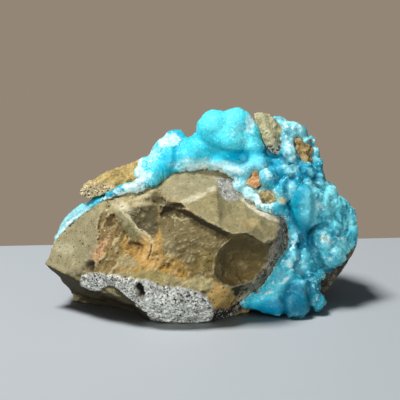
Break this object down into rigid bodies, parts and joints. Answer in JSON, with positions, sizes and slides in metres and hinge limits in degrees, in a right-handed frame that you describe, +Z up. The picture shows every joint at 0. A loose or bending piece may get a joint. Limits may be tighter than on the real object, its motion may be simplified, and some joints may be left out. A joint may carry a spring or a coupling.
{
  "type": "mineral specimen",
  "caption": "Mineral specimen: a crust of blue round-lobed hemimorphite over a broken block of olive brown rock, with loose rock pieces set in the crust.",
  "frame": {"origin": "on the surface it rests on, under the middle of the front view", "axes": "+Z up, +X to the right along the specimen's length, +Y to the back, the bare broken faces to -Y"},
  "size_m": [0.1051, 0.0717, 0.0656],
  "materials": {
    "host_rock": "broken olive brown rock, matt",
    "hemimorphite": "finely crystalline, slightly see-through, glinting"
  },
  "bodies": {
    "root": {"host_rock": "host_rock", "hemimorphite_crust": "hemimorphite", "top_clast": "host_rock", "left_clast": "host_rock", "right_clast": "host_rock", "orange_clast": "host_rock", "pit_clast": "host_rock"}
  },
  "joints": []
}
